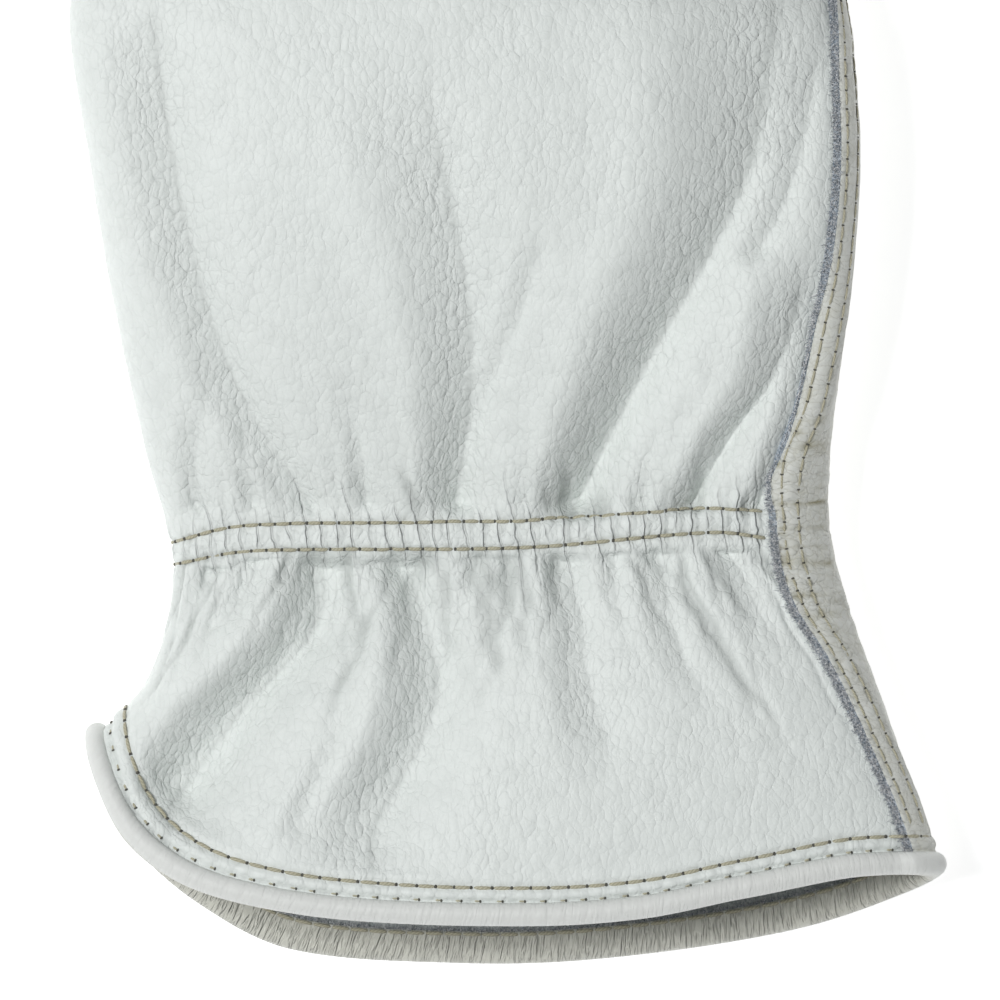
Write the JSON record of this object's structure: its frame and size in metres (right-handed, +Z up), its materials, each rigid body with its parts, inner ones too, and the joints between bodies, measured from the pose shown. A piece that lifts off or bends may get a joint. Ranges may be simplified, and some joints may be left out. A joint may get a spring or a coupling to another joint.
{
  "type": "driving glove",
  "caption": "Right-hand leather glove lying palm down, with a shirred wrist, a flared cuff with a rolled hem and a lapped outer seam.",
  "frame": {"origin": "under the middle of the wrist, on the table that the palm rests on", "axes": "+Y towards the fingertips, +X towards the little finger, +Z up from the table through the back of the hand"},
  "size_m": [0.1582, 0.2566, 0.0372],
  "materials": {
    "back_leather": "pearl white grain leather with fine pebbling, satin",
    "palm_leather": "warm white grain leather with fine cross wrinkles, satin",
    "hem_leather": "white grain leather rolled into a cord, satin"
  },
  "bodies": {
    "root": {"back_panel": "back_leather", "palm_panel": "palm_leather", "fork_index_middle": "back_leather", "fork_middle_ring": "back_leather", "fork_ring_little": "back_leather", "thumb": "palm_leather", "hem_binding": "hem_leather"}
  },
  "joints": []
}
